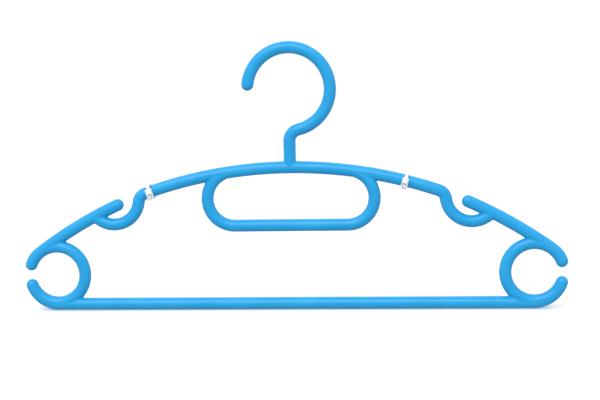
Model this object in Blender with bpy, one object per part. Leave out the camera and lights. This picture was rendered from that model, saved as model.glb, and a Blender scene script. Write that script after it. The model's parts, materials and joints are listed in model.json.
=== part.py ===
"""Moulded plastic clothes hanger with a fixed hook, strap notches, end rings and two nylon cable ties.

The hanger is drawn as a flat skeleton of centrelines in the XZ plane. +X runs to the right,
+Z up and -Y to the front. Every member is a round rod swept along its stretch of the skeleton.
The origin is the hook's inner apex, the line that rests on a rail.
"""

import math

import bmesh
import bpy
from mathutils import Matrix, Vector

MM = 0.001
FIT_GAP = 0.3

# Rods, in millimetres. Heights are measured from the shoulder bar's centreline at its crown.
ROD_R = 4.5
HOOK_ROD_R = 4.5
ROD_SIDES = 20
DOME_STEPS = 4

# The shoulder bar is one shallow arc, centred on the hanger's middle plane.
SHOULDER_R = 330.5
SHOULDER_HALF_ANGLE = math.radians(19.0)
SHOULDER_STEP = math.radians(1.9)

# Hook: neck, bend and open circle.
HOOK_R = 30.1
HOOK_CENTRE_Z = 56.8
HOOK_START_ANGLE = math.radians(-74.4)
HOOK_TIP_ANGLE = math.radians(172.9)
NECK_BEND_R = 8.25
NECK_SPLIT_Z = 8.0

# Accessory loop: a flat-bottomed rod with round ends that run up into the shoulder bar.
LOOP_Z = -42.5
LOOP_HALF_LENGTH = 41.4
LOOP_END_R = 19.9
LOOP_SPLIT_ANGLE = math.radians(24.0)
LOOP_JOIN_ANGLE = math.radians(60.0)

# Strap notch: a tight corner down from the shoulder bar, then a wide turn back up to the arm.
CORNER_R = 7.3
CORNER_TURN = math.radians(64.4)
NOTCH_R = 18.8
NOTCH_TURN = math.radians(131.3)
NOTCH_STUB_TURN = math.radians(35.0)

# Arm: starts at a free tip inside the notch and falls away to the end ring.
ARM_TIP_X = 128.6
ARM_TIP_Z = -26.3
ARM_TIP_FALL = math.radians(24.2)
ARM_R = 330.5
ARM_LENGTH = 70.4
ARM_SPLIT_LENGTH = 46.0

# End ring: open at its outer side. The arm and the trouser bar curl into its two lips.
RING_X = 176.0
RING_Z = -78.1
RING_R = 21.0
RING_MOUTH_HALF_ANGLE = math.radians(21.5)
CURL_ROD_R = 4.46
CURL_END_SHORT = math.radians(5.0)

# Trouser bar.
BAR_Z = -100.3
BAR_HALF_LENGTH = 175.2
BAR_SPLIT_X = 150.0

# Cable tie, measured from the rod's centre in the plane square to the rod.
STRAP_WIDTH = 2.3
STRAP_THICKNESS = 1.0
STRAP_CLEARANCE = 0.35
TAIL_ANGLE = math.radians(45.0)
TAIL_BEND_R = 0.9
TAIL_PROUD = 0.7
ROOT_ANGLE = math.radians(75.0)
ROOT_BEND_R = 1.2
ROOT_DEPTH = 6.4
HEAD_BACK = 5.75
HEAD_DEPTH = 4.0
HEAD_WIDTH = 4.6
HEAD_HEIGHT = 8.2
HEAD_BEVEL = 0.5
SLOT_MARGIN = 0.35
SLOT_UNDER_STRAP = 0.55
SLOT_OVER_STRAP = 1.6
PAWL_WIDTH = 2.1
PAWL_LENGTH = 3.0
PAWL_TIP = 0.65
PAWL_ROOT = 1.1
TIE_ANGLES = {"left": math.radians(-18.2), "right": math.radians(14.65)}

# Rounding of the curves into straight spans.
WIDE_STEP = math.radians(7.5)
TIGHT_STEP = math.radians(12.0)

SKY_BLUE = (0.030, 0.395, 0.83, 1.0)
NYLON_WHITE = (0.86, 0.86, 0.84, 1.0)

APEX_Z = HOOK_CENTRE_Z + HOOK_R - HOOK_ROD_R


class Pen:
    """Draws a flat centreline as stations of (across, up, heading)."""

    def __init__(self, across, up, heading):
        self.stations = [(across, up, heading)]

    def line(self, length):
        across, up, heading = self.stations[-1]
        across += length * math.cos(heading)
        up += length * math.sin(heading)
        self.stations.append((across, up, heading))
        return self

    def arc(self, radius, turn, step=WIDE_STEP):
        """Turn left for a positive angle and right for a negative one."""
        across, up, heading = self.stations[-1]
        side = math.copysign(1.0, turn)
        centre_across = across - side * radius * math.sin(heading)
        centre_up = up + side * radius * math.cos(heading)
        spans = max(1, round(abs(turn) / step))
        for index in range(1, spans + 1):
            angle = heading + turn * index / spans
            self.stations.append((centre_across + side * radius * math.sin(angle),
                                  centre_up - side * radius * math.cos(angle),
                                  angle))
        return self


def circle_stations(centre_x, centre_z, radius, start, end, step=WIDE_STEP):
    """An arc given by its centre, drawn anticlockwise from start to end."""
    pen = Pen(centre_x + radius * math.cos(start),
              centre_z + radius * math.sin(start),
              start + math.pi / 2)
    return pen.arc(radius, end - start, step).stations


def reversed_stations(stations):
    return [(across, up, heading + math.pi) for across, up, heading in reversed(stations)]


def mirrored(stations, side):
    """The stations as drawn for side 1, and mirrored in the middle plane for side -1."""
    if side > 0:
        return stations
    return [(-across, up, math.pi - heading) for across, up, heading in stations]


def curl_to(start, target):
    """The radius and turn of the one arc that leaves start along its heading and ends on target."""
    across = target[0] - start[0]
    up = target[1] - start[1]
    left = up * math.cos(start[2]) - across * math.sin(start[2])
    chord = math.hypot(across, up)
    radius = chord * chord / (2.0 * abs(left))
    turn = math.copysign(2.0 * math.asin(chord / (2.0 * radius)), left)
    return radius, turn


def in_hanger_plane(across, up, depth):
    return Vector((across, depth, up)) * MM


def in_tie_plane(across, up, depth):
    return Vector((depth, across, up)) * MM


def round_section(radius):
    angles = [2.0 * math.pi * index / ROD_SIDES for index in range(ROD_SIDES)]
    return [(radius * math.cos(angle), radius * math.sin(angle)) for angle in angles]


def add_rings(mesh, stations, section, place):
    """One ring of vertices per station, square to the heading there."""
    rings = []
    for across, up, heading in stations:
        ring = []
        for offset, depth in section:
            point = place(across - offset * math.sin(heading), up + offset * math.cos(heading), depth)
            ring.append(mesh.verts.new(point))
        rings.append(ring)
    return rings


def skin(mesh, rings):
    for first, second in zip(rings, rings[1:]):
        count = len(first)
        for index in range(count):
            after = (index + 1) % count
            mesh.faces.new((first[index], first[after], second[after], second[index]))


def dome(mesh, station, radius, sign):
    """The rings and the pole of a round tip, from the rod outwards."""
    across, up, heading = station
    rings = []
    for index in range(1, DOME_STEPS):
        angle = 0.5 * math.pi * index / DOME_STEPS
        ahead = sign * radius * math.sin(angle)
        centre = (across + ahead * math.cos(heading), up + ahead * math.sin(heading), heading)
        rings += add_rings(mesh, [centre], round_section(radius * math.cos(angle)), in_hanger_plane)
    pole = mesh.verts.new(in_hanger_plane(across + sign * radius * math.cos(heading),
                                          up + sign * radius * math.sin(heading), 0.0))
    return rings, pole


def close_end(mesh, ring, pole=None):
    if pole is None:
        mesh.faces.new(ring)
        return
    for index, vertex in enumerate(ring):
        mesh.faces.new((vertex, ring[(index + 1) % len(ring)], pole))


def rod_mesh(name, stations, radius, round_start=False, round_end=False):
    """A round rod along the stations, with flat or domed ends."""
    mesh = bmesh.new()
    rings = add_rings(mesh, stations, round_section(radius), in_hanger_plane)
    start_pole = None
    end_pole = None
    if round_start:
        extra, start_pole = dome(mesh, stations[0], radius, -1.0)
        rings = extra[::-1] + rings
    if round_end:
        extra, end_pole = dome(mesh, stations[-1], radius, 1.0)
        rings = rings + extra
    skin(mesh, rings)
    close_end(mesh, rings[0], start_pole)
    close_end(mesh, rings[-1], end_pole)
    return finished_mesh(mesh, name)


def finished_mesh(mesh, name):
    bmesh.ops.recalc_face_normals(mesh, faces=mesh.faces)
    data = bpy.data.meshes.new(name)
    mesh.to_mesh(data)
    mesh.free()
    data.shade_smooth()
    data.set_sharp_from_angle(angle=math.radians(40.0))
    return data


def add_node(name, data, material, parent):
    node = bpy.data.objects.new(name, data)
    bpy.context.scene.collection.objects.link(node)
    data.materials.append(material)
    node.parent = parent
    return node


def add_helper(name, data, parent):
    """A shape that only joins or cuts a node."""
    helper = bpy.data.objects.new(name, data)
    bpy.context.scene.collection.objects.link(helper)
    helper.parent = parent
    helper.hide_render = True
    helper.display_type = "WIRE"
    return helper


def combine(node, helper, operation):
    modifier = node.modifiers.new(helper.name, "BOOLEAN")
    modifier.operation = operation
    modifier.object = helper
    modifier.solver = "EXACT"


def plastic(name, colour, roughness):
    material = bpy.data.materials.new(name)
    material.use_nodes = True
    shader = material.node_tree.nodes["Principled BSDF"]
    shader.inputs["Base Color"].default_value = colour
    shader.inputs["Roughness"].default_value = roughness
    shader.inputs["Metallic"].default_value = 0.0
    return material


def add_empty(name, location, parent=None, turn_about_y=0.0):
    empty = bpy.data.objects.new(name, None)
    bpy.context.scene.collection.objects.link(empty)
    empty.parent = parent
    empty.location = location
    empty.rotation_euler = (0.0, turn_about_y, 0.0)
    return empty


def build_hook(material, parent):
    """Neck, bend and open circle in one rod, from the joint above the shoulder bar to the tip."""
    bend_turn = -HOOK_START_ANGLE
    link = (HOOK_R * math.cos(bend_turn) - NECK_BEND_R * (1.0 - math.cos(bend_turn))) / math.sin(bend_turn)
    neck_top = (HOOK_CENTRE_Z - (HOOK_R + NECK_BEND_R) * math.sin(bend_turn)
                - link * math.cos(bend_turn))
    neck_start = NECK_SPLIT_Z + FIT_GAP
    pen = Pen(0.0, neck_start, math.pi / 2)
    pen.line(neck_top - neck_start)
    pen.arc(NECK_BEND_R, -bend_turn)
    pen.line(link)
    pen.arc(HOOK_R, HOOK_TIP_ANGLE - HOOK_START_ANGLE)
    data = rod_mesh("hook", pen.stations, HOOK_ROD_R, round_end=True)
    add_node("hook", data, material, parent)


def build_shoulder_bar(material, parent):
    """The shoulder arc, with the neck's stub on its crown and the loop's two stubs below it."""
    end = math.pi / 2 + SHOULDER_HALF_ANGLE
    start = math.pi / 2 - SHOULDER_HALF_ANGLE
    arc = circle_stations(0.0, -SHOULDER_R, SHOULDER_R, start, end, SHOULDER_STEP)
    bar = add_node("shoulder_bar", rod_mesh("shoulder_bar", arc, ROD_R), material, parent)
    neck = Pen(0.0, 0.0, math.pi / 2).line(NECK_SPLIT_Z).stations
    helpers = [add_helper("neck_stub", rod_mesh("neck_stub", neck, HOOK_ROD_R), parent)]
    for label, side in (("left", -1), ("right", 1)):
        stub = circle_stations(LOOP_HALF_LENGTH, LOOP_Z + LOOP_END_R, LOOP_END_R,
                               LOOP_SPLIT_ANGLE, LOOP_JOIN_ANGLE)
        name = label + "_loop_stub"
        helpers.append(add_helper(name, rod_mesh(name, mirrored(stub, side), ROD_R), parent))
    for helper in helpers:
        combine(bar, helper, "UNION")


def build_accessory_loop(material, parent):
    """The loop's bottom and round ends, up to the shoulder bar's stubs."""
    turn = math.pi / 2 + LOOP_SPLIT_ANGLE - FIT_GAP / LOOP_END_R
    right = Pen(0.0, LOOP_Z, 0.0).line(LOOP_HALF_LENGTH).arc(LOOP_END_R, turn).stations
    left = reversed_stations(mirrored(right, -1))
    add_node("accessory_loop", rod_mesh("accessory_loop", left[:-1] + right[1:], ROD_R), material, parent)


def notch_pen(short):
    """The corner and the wide turn, drawn from the shoulder bar's end to the stub under the arm.

    The turn ends short of the stub by that length.
    """
    pen = Pen(SHOULDER_R * math.sin(SHOULDER_HALF_ANGLE),
              SHOULDER_R * math.cos(SHOULDER_HALF_ANGLE) - SHOULDER_R,
              -SHOULDER_HALF_ANGLE)
    pen.line(FIT_GAP).arc(CORNER_R, -CORNER_TURN)
    return pen.arc(NOTCH_R, NOTCH_TURN - NOTCH_STUB_TURN - short / NOTCH_R)


def build_strap_notch(label, side, material, parent):
    """The corner and the wide turn, clear of the shoulder bar and of the stub by the fit gap."""
    stations = notch_pen(FIT_GAP).stations[1:]
    name = label + "_strap_notch"
    add_node(name, rod_mesh(name, mirrored(stations, side), ROD_R), material, parent)


def arm_pen():
    return Pen(ARM_TIP_X, ARM_TIP_Z, -ARM_TIP_FALL)


def build_arm(label, side, material, parent):
    """The free tip and the falling arm, with the notch's stub joined on from below."""
    turn = -ARM_SPLIT_LENGTH / ARM_R
    arm = arm_pen().arc(ARM_R, turn, SHOULDER_STEP).stations
    name = label + "_arm"
    data = rod_mesh(name, mirrored(arm, side), ROD_R, round_start=True)
    node = add_node(name, data, material, parent)
    stub = Pen(*notch_pen(0.0).stations[-1]).arc(NOTCH_R, NOTCH_STUB_TURN).stations
    stub_name = label + "_notch_stub"
    helper = add_helper(stub_name, rod_mesh(stub_name, mirrored(stub, side), ROD_R), parent)
    combine(node, helper, "UNION")


def build_end_ring(label, side, material, parent):
    """The open ring, joined with the arm's curl into its upper lip and the bar's into its lower lip."""
    ring = circle_stations(RING_X, RING_Z, RING_R, RING_MOUTH_HALF_ANGLE,
                           2.0 * math.pi - RING_MOUTH_HALF_ANGLE)
    name = label + "_end_ring"
    data = rod_mesh(name, mirrored(ring, side), ROD_R, round_start=True, round_end=True)
    node = add_node(name, data, material, parent)

    whole = arm_pen().arc(ARM_R, -(ARM_SPLIT_LENGTH + FIT_GAP) / ARM_R).stations[-1]
    upper = Pen(*whole).arc(ARM_R, -(ARM_LENGTH - ARM_SPLIT_LENGTH - FIT_GAP) / ARM_R, SHOULDER_STEP)
    radius, turn = curl_to(upper.stations[-1], ring[0])
    upper.arc(radius, turn + CURL_END_SHORT)

    lower = Pen(BAR_SPLIT_X + FIT_GAP, BAR_Z, 0.0).line(BAR_HALF_LENGTH - BAR_SPLIT_X - FIT_GAP)
    radius, turn = curl_to(lower.stations[-1], ring[-1])
    lower.arc(radius, turn - CURL_END_SHORT)

    for part, pen in (("arm_curl", upper), ("bar_curl", lower)):
        curl_name = label + "_" + part
        curl = rod_mesh(curl_name, mirrored(pen.stations, side), CURL_ROD_R)
        combine(node, add_helper(curl_name, curl, parent), "UNION")


def build_trouser_bar(material, parent):
    line = Pen(-BAR_SPLIT_X, BAR_Z, 0.0).line(2.0 * BAR_SPLIT_X).stations
    add_node("trouser_bar", rod_mesh("trouser_bar", line, ROD_R), material, parent)


def strap_stations():
    """The strap's centreline from its cut tail, through the slot, round the rod and to the head's top.

    Across is the depth axis here, and the head is at the negative side.
    """
    wrap_r = ROD_R + STRAP_CLEARANCE + 0.5 * STRAP_THICKNESS
    tail_start = math.pi + TAIL_ANGLE
    root_end = 3.0 * math.pi - ROOT_ANGLE
    wrap = circle_stations(0.0, 0.0, wrap_r, tail_start, root_end, TIGHT_STEP)
    tail_turn = math.pi / 2 - TAIL_ANGLE
    tail = Pen(wrap[0][0], wrap[0][1], wrap[0][2] - math.pi).arc(TAIL_BEND_R, tail_turn, TIGHT_STEP)
    tail_reach = HEAD_BACK + HEAD_DEPTH + TAIL_PROUD + tail.stations[-1][0]
    tail.line(tail_reach)
    root = Pen(*wrap[-1])
    bend_reach = ROOT_BEND_R * (1.0 - math.cos(ROOT_ANGLE))
    root.line((ROOT_DEPTH + wrap[-1][0] - bend_reach) / math.sin(ROOT_ANGLE))
    root.arc(ROOT_BEND_R, ROOT_ANGLE, TIGHT_STEP)
    return reversed_stations(tail.stations)[:-1] + wrap + root.stations[1:]


def box_mesh(name, low, high, bevel=0.0):
    mesh = bmesh.new()
    bmesh.ops.create_cube(mesh, size=1.0)
    low = Vector(low) * MM
    high = Vector(high) * MM
    size = Matrix.Diagonal((high - low).to_4d())
    size[3][3] = 1.0
    bmesh.ops.transform(mesh, matrix=Matrix.Translation((low + high) / 2) @ size, verts=mesh.verts)
    if bevel > 0.0:
        bmesh.ops.bevel(mesh, geom=mesh.edges[:], offset=bevel * MM, segments=2, profile=0.5,
                        affect="EDGES")
    return finished_mesh(mesh, name)


def pawl_mesh(name, strap_top):
    """The sprung tongue over the strap: thick at its root by the rod, and sloping to its tip."""
    slot_top = strap_top + SLOT_OVER_STRAP - FIT_GAP
    low = strap_top + FIT_GAP
    root = -HEAD_BACK - 0.5 * (HEAD_DEPTH - PAWL_LENGTH)
    tip = root - PAWL_LENGTH
    profile = [(root, slot_top), (root, slot_top - PAWL_TIP), (tip + PAWL_TIP, low), (tip, low),
               (tip, low + PAWL_TIP), (root - PAWL_ROOT, slot_top)]
    mesh = bmesh.new()
    sides = []
    for depth in (-0.5 * PAWL_WIDTH, 0.5 * PAWL_WIDTH):
        sides.append([mesh.verts.new(in_tie_plane(across, up, depth)) for across, up in profile])
    skin(mesh, sides)
    close_end(mesh, sides[0])
    close_end(mesh, sides[1])
    return finished_mesh(mesh, name)


def build_tie(label, material, frame):
    """A strap that wraps the rod, and a head whose slot holds the strap's tail under a pawl."""
    arc_centre = Vector((0.0, 0.0, -SHOULDER_R * MM))
    pivot = add_empty(label + "_tie_pivot", arc_centre, frame, TIE_ANGLES[label])
    seat = add_empty(label + "_tie_seat", (0.0, 0.0, SHOULDER_R * MM), pivot)
    stations = strap_stations()
    half_thick = 0.5 * STRAP_THICKNESS
    half_wide = 0.5 * STRAP_WIDTH
    section = [(half_thick, half_wide), (half_thick, -half_wide),
               (-half_thick, -half_wide), (-half_thick, half_wide)]
    mesh = bmesh.new()
    rings = add_rings(mesh, stations, section, in_tie_plane)
    skin(mesh, rings)
    close_end(mesh, rings[0])
    close_end(mesh, rings[-1])
    strap_name = label + "_tie_strap"
    add_node(strap_name, finished_mesh(mesh, strap_name), material, seat)

    head_top = stations[-1][1] - FIT_GAP
    tail_up = stations[0][1]
    head_name = label + "_tie_head"
    head_low = (-0.5 * HEAD_WIDTH, -HEAD_BACK - HEAD_DEPTH, head_top - HEAD_HEIGHT)
    head_high = (0.5 * HEAD_WIDTH, -HEAD_BACK, head_top)
    head = add_node(head_name, box_mesh(head_name, head_low, head_high, HEAD_BEVEL), material, seat)
    strap_top = tail_up + half_thick
    slot_low = (-half_wide - SLOT_MARGIN, head_low[1] - 1.0, tail_up - half_thick - SLOT_UNDER_STRAP)
    slot_high = (half_wide + SLOT_MARGIN, head_high[1] + 1.0, strap_top + SLOT_OVER_STRAP)
    slot_name = label + "_tie_slot"
    combine(head, add_helper(slot_name, box_mesh(slot_name, slot_low, slot_high), seat), "DIFFERENCE")
    pawl_name = label + "_tie_pawl"
    add_node(pawl_name, pawl_mesh(pawl_name, strap_top), material, seat)


def main():
    for old in list(bpy.data.objects):
        bpy.data.objects.remove(old, do_unlink=True)
    blue = plastic("hanger_plastic", SKY_BLUE, 0.32)
    nylon = plastic("tie_nylon", NYLON_WHITE, 0.45)
    frame = add_empty("shoulder_crown", (0.0, 0.0, -APEX_Z * MM))
    build_hook(blue, frame)
    build_shoulder_bar(blue, frame)
    build_accessory_loop(blue, frame)
    build_trouser_bar(blue, frame)
    for label, side in (("left", -1), ("right", 1)):
        build_strap_notch(label, side, blue, frame)
        build_arm(label, side, blue, frame)
        build_end_ring(label, side, blue, frame)
        build_tie(label, nylon, frame)


main()
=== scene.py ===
# The looks of a moulded plastic clothes hanger and its two nylon cable ties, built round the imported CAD
# frame.
#
# The hanger's skeleton lies in the XZ plane and is drawn in millimetres. Heights are measured from the
# shoulder bar's centreline at its crown, as in the CAD source. Members that join are skinned from one
# distance field, so that a small fillet runs round every joint. Single rods are swept. Both end exactly
# where the next member starts.

import json
import math

import bmesh
import bpy
import numpy as np
from mathutils import Matrix, Vector


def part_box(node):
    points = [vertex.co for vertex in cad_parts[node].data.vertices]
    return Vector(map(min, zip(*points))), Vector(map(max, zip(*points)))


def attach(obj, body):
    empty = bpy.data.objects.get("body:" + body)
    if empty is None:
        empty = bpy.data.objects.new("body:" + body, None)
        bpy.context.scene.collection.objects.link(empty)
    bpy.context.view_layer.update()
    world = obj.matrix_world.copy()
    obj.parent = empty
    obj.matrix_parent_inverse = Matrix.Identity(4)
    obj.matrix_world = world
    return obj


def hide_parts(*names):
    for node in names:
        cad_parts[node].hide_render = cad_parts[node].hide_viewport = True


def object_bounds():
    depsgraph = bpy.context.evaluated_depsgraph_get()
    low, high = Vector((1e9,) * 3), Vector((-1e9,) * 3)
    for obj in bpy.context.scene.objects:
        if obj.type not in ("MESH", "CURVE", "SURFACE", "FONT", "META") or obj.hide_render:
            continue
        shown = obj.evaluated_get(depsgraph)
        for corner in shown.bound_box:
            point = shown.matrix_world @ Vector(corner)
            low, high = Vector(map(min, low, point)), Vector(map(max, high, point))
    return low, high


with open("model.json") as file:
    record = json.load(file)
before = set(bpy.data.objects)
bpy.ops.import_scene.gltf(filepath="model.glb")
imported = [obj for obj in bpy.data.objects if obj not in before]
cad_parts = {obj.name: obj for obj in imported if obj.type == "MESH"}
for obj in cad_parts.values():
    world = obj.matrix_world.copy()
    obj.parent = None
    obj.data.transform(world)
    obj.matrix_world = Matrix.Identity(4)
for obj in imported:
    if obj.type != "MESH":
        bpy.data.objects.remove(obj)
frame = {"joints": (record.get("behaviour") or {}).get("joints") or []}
cad_low, cad_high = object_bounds()

MM = 0.001

# ---------------------------------------------------------------- what the frame gives
SHOULDER_R = 330.5
ARC_CENTRE = Vector(frame["joints"][0]["pos_m"])
CROWN_Z = ARC_CENTRE.z / MM + SHOULDER_R
INSET = 0.02
ROD_R = 0.5 * (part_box("trouser_bar")[1].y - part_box("trouser_bar")[0].y) / MM - INSET
HOOK_ROD_R = 0.5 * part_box("hook")[1].z / MM - INSET
BAR_LOW, BAR_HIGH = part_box("trouser_bar")
BAR_Z = 0.5 * (BAR_LOW.z + BAR_HIGH.z) / MM - CROWN_Z
FLOOR_Z = cad_low.z

# ---------------------------------------------------------------- the skeleton
SHOULDER_HALF_ANGLE = math.radians(19.0)

HOOK_R = 30.1
HOOK_CENTRE_Z = 56.8
HOOK_START_ANGLE = math.radians(-74.4)
HOOK_TIP_ANGLE = math.radians(172.9)
NECK_BEND_R = 8.25
NECK_SPLIT_Z = 8.0

LOOP_Z = -42.5
LOOP_HALF_LENGTH = 41.4
LOOP_END_R = 19.9
LOOP_SPLIT_ANGLE = math.radians(24.0)
LOOP_JOIN_ANGLE = math.radians(66.0)

CORNER_LEAD_IN = 0.3
CORNER_R = 7.3
CORNER_TURN = math.radians(64.4)
NOTCH_R = 18.8
NOTCH_TURN = math.radians(131.3)
NOTCH_STUB_TURN = math.radians(35.0)

ARM_TIP_X = 128.6
ARM_TIP_Z = -26.3
ARM_TIP_FALL = math.radians(24.2)
ARM_R = 330.5
ARM_LENGTH = 70.4
ARM_SPLIT_LENGTH = 46.0

RING_X = 176.0
RING_Z = -78.1
RING_R = 21.0
RING_MOUTH_HALF_ANGLE = math.radians(21.5)
CURL_END_SHORT = math.radians(5.0)
BAR_HALF_LENGTH = 175.2
BAR_SPLIT_X = 150.0

# ---------------------------------------------------------------- how the moulding is meshed
FILLET = 1.0
CELL = 0.5
OVERRUN = 2.5
FIELD_STEP = 0.01
SETTLE_ROUNDS = 5
RELAX_ROUNDS = 3
ROD_SIDES = 64
ROD_STEP = 1.2
ROD_TURN = math.radians(3.0)
DOME_STEPS = 12
SMOOTH_ANGLE = math.radians(35.0)
SLIVER = 0.002

# ---------------------------------------------------------------- marks that the mould leaves on the back
PIN_R = 1.5
PIN_PROUD = 0.03
PIN_LENGTH = 1.2
PIN_BEVEL = 0.06
PIN_SIDES = 40
NECK_PIN_LENGTH = 9.0
HOOK_PIN_SHARES = (0.25, 0.7)
SHOULDER_PIN_ANGLES = (-13.5, -4.5, 4.5, 13.5)
LOOP_PIN_SHARE = 0.8
BAR_PIN_PITCH = 60.0
NOTCH_PIN_SHARE = 0.45
ARM_PIN_SHARE = 0.75
RING_PIN_SHARES = (0.3, 0.52)
GATE_R = 0.9
GATE_PROUD = 0.28

# ---------------------------------------------------------------- cable ties, from the rod's centre
STRAP_WIDTH = 2.3
STRAP_THICKNESS = 1.0
STRAP_CLEARANCE = 0.35
STRAP_ROUND = 0.16
TRACK_HALF_WIDTH = 0.75
TRACK_SLOPE = 0.08
TOOTH_PITCH = 0.9
TOOTH_DEPTH = 0.26
TOOTH_LEAST = 0.03
TOOTH_STEPS = 9
TAIL_ANGLE = math.radians(45.0)
TAIL_BEND_R = 0.9
TAIL_PROUD = 0.7 - INSET
ROOT_ANGLE = math.radians(75.0)
ROOT_BEND_R = 1.2
ROOT_DEPTH = 6.4
HEAD_BACK = 5.75
HEAD_DEPTH = 4.0
HEAD_WIDTH = 4.6
HEAD_HEIGHT = 8.2
HEAD_GAP = 0.3
ROOT_SUNK = 0.4
HEAD_ROUND = 0.75
SLOT_MARGIN = 0.35
SLOT_UNDER_STRAP = 0.55
SLOT_OVER_STRAP = 1.6
SLOT_FLARE = 0.7
SLOT_BEVEL = 0.12
MOUTH_DEPTH = 0.4
PANEL_DEPTH = 0.22
PANEL_SIDE_MARGIN = 0.9
PANEL_END_MARGIN = 1.5
PANEL_BEVEL = 0.15
PAWL_WIDTH = 2.1
PAWL_LENGTH = 3.0
PAWL_TIP = 0.65
PAWL_ROOT = 1.1
PAWL_TEETH = 3
PAWL_TOP_GAP = 0.1
PAWL_UNDER_GAP = 0.06
PAWL_TOOTH_HEIGHT = 0.34
PAWL_TOOTH_RISE = 0.12
PAWL_NOSE = 0.2
PAWL_BEVEL = 0.04

# ---------------------------------------------------------------- stage, light and camera
FLOOR_SIZE = 30.0
TABLE_GLOW = 0.12
SKY_SEEN = 1.1
SKY_TOP = 1.0
SKY_BOTTOM = 0.50
SUN_POWER = 0.72
SUN_WIDTH = math.radians(40.0)
SUN_FROM = (-0.18, -0.80, 0.58)
SOFTBOX_PLACE = (-0.25, -0.75, 0.95)
SOFTBOX_TARGET = (0.0, 0.0, -0.1)
SOFTBOX_SIZE = (1.5, 0.12)
SOFTBOX_POWER = 4.2
CAMERA_YAW = math.radians(-5.07)
CAMERA_PITCH = math.radians(5.93)
CAMERA_ROLL = math.radians(1.15)
CAMERA_OFFSET = Vector((-6.86, 927.8, 2.49)) * MM
CAMERA_TARGET = Vector((0.0, 0.0, CROWN_Z - 21.5)) * MM
CAMERA_LENS = 76.2


# ---------------------------------------------------------------- centrelines
class Path:
    """A flat centreline of tangent lines and arcs. Each span is (x, z, heading, length, curvature)."""

    def __init__(self, x, z, heading):
        self.start = (x, z, heading)
        self.end = self.start
        self.spans = []

    def add(self, length, curvature):
        self.spans.append((*self.end, length, curvature))
        self.end = span_point(self.spans[-1], length)
        return self

    def line(self, length):
        return self.add(length, 0.0)

    def arc(self, radius, turn):
        """Turn left for a positive angle and right for a negative one."""
        return self.add(radius * abs(turn), math.copysign(1.0 / radius, turn))

    def stations(self, step):
        """Places (x, z, heading) along the path, closer together where it turns tightly."""
        found = [self.start]
        for span in self.spans:
            turn = span[3] * abs(span[4])
            count = max(1, math.ceil(span[3] / step), math.ceil(turn / ROD_TURN))
            found += [span_point(span, span[3] * i / count) for i in range(1, count + 1)]
        return found

    def nearest(self, flat):
        """The centreline's nearest point to each of the points (x, z)."""
        best = None
        for span in self.spans:
            point = span_nearest(span, flat)
            gap = np.hypot(*(flat - point).T)
            if best is None:
                best, least = point, gap
            else:
                best = np.where((gap < least)[:, None], point, best)
                least = np.minimum(gap, least)
        return best


def span_point(span, length):
    """(x, z, heading) at a length along the span."""
    x, z, heading, _, curvature = span
    if curvature == 0.0:
        return (x + length * math.cos(heading), z + length * math.sin(heading), heading)
    after = heading + length * curvature
    return (x + (math.sin(after) - math.sin(heading)) / curvature,
            z - (math.cos(after) - math.cos(heading)) / curvature,
            after)


def span_nearest(span, flat):
    x, z, heading, length, curvature = span
    if curvature == 0.0:
        ahead = np.array([math.cos(heading), math.sin(heading)])
        start = np.array([x, z])
        along = np.clip((flat - start) @ ahead, 0.0, length)
        return start + along[:, None] * ahead
    centre = np.array([x - math.sin(heading) / curvature, z + math.cos(heading) / curvature])
    half_turn = 0.5 * length * abs(curvature)
    middle = math.atan2(z - centre[1], x - centre[0]) + math.copysign(half_turn, curvature)
    offset = flat - centre
    angle = np.arctan2(offset[:, 1], offset[:, 0]) - middle
    angle = (angle + math.pi) % (2.0 * math.pi) - math.pi
    angle = middle + np.clip(angle, -half_turn, half_turn)
    return centre + np.stack([np.cos(angle), np.sin(angle)], axis=1) / abs(curvature)


def circle_path(centre_x, centre_z, radius, start, end):
    """An arc given by its centre, drawn anticlockwise from start to end."""
    path = Path(centre_x + radius * math.cos(start),
                centre_z + radius * math.sin(start),
                start + math.pi / 2)
    return path.arc(radius, end - start)


def curl_to(start, target):
    """The radius and turn of the one arc that leaves start along its heading and ends on target."""
    across = target[0] - start[0]
    up = target[1] - start[1]
    left = up * math.cos(start[2]) - across * math.sin(start[2])
    chord = math.hypot(across, up)
    radius = chord * chord / (2.0 * abs(left))
    return radius, math.copysign(2.0 * math.asin(chord / (2.0 * radius)), left)


def backwards(path):
    """The same centreline drawn from its end, with its spans' order and turns reversed."""
    x, z, heading = path.end
    turned = Path(x, z, heading + math.pi)
    for span in reversed(path.spans):
        turned.add(span[3], -span[4])
    return turned


# ---------------------------------------------------------------- distance fields
def rod_gap(rod, points):
    """Signed distance to a rod's skin and the way out of it, for a rod given as (path, radius)."""
    path, radius = rod
    centre = path.nearest(points[:, [0, 2]])
    out = np.stack([points[:, 0] - centre[:, 0], points[:, 1], points[:, 2] - centre[:, 1]], axis=1)
    length = np.maximum(np.linalg.norm(out, axis=1), 1e-9)
    return length - radius, out / length[:, None]


def joined_gap(rods, points):
    """Signed distance to the joined rods. The fillet grows with the angle at which the skins meet."""
    gap, out = rod_gap(rods[0], points)
    for rod in rods[1:]:
        other, way = rod_gap(rod, points)
        bend = np.clip(2.0 * (1.0 - (out * way).sum(axis=1)), 0.0, 1.0)
        reach = np.maximum(FILLET * bend, 1e-6)
        share = np.maximum(reach - np.abs(gap - other), 0.0) / reach
        nearer = (gap < other)[:, None]
        gap = np.minimum(gap, other) - 0.25 * share * share * reach
        out = np.where(nearer, out, way)
    return gap


def slope_of(rods, points):
    """The field's gradient, by central differences."""
    columns = []
    for axis in range(3):
        step = np.zeros(3)
        step[axis] = FIELD_STEP
        rise = joined_gap(rods, points + step) - joined_gap(rods, points - step)
        columns.append(rise / (2.0 * FIELD_STEP))
    return np.stack(columns, axis=1)


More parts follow.
